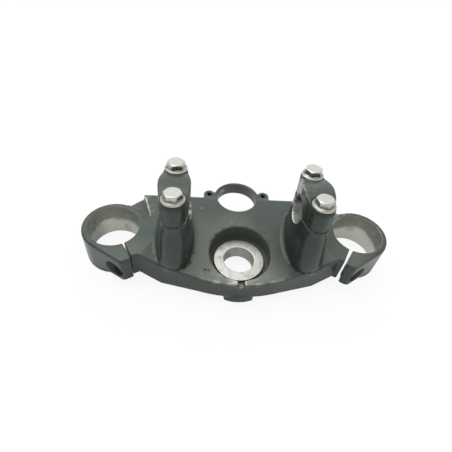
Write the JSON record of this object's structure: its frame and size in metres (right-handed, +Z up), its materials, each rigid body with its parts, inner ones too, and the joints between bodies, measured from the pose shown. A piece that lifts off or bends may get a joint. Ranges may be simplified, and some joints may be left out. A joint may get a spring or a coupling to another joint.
{
  "type": "motorcycle triple clamp",
  "caption": "Upper fork yoke: cast plate with split clamps for the fork tubes, a stem boss with a steel bush, a switch ring and handlebar clamps with bolted caps.",
  "frame": {"origin": "on the steering stem's axis, at the stem nut's seat, which is the top face of the stem bush", "axes": "+X to the rider's right across the fork clamps, +Y to the front of the motorcycle, +Z up along the stem"},
  "size_m": [0.2518, 0.109, 0.0896],
  "materials": {
    "casting": "worn satin black paint on cast aluminium",
    "bush_steel": "turned bare steel",
    "plated_steel": "dull zinc plate"
  },
  "bodies": {
    "root": {"upper_yoke": "casting", "stem_bush": "bush_steel", "left_bar_cap": "casting", "right_bar_cap": "casting", "left_front_cap_bolt": "plated_steel", "left_rear_cap_bolt": "plated_steel", "right_front_cap_bolt": "plated_steel", "right_rear_cap_bolt": "plated_steel"}
  },
  "joints": []
}
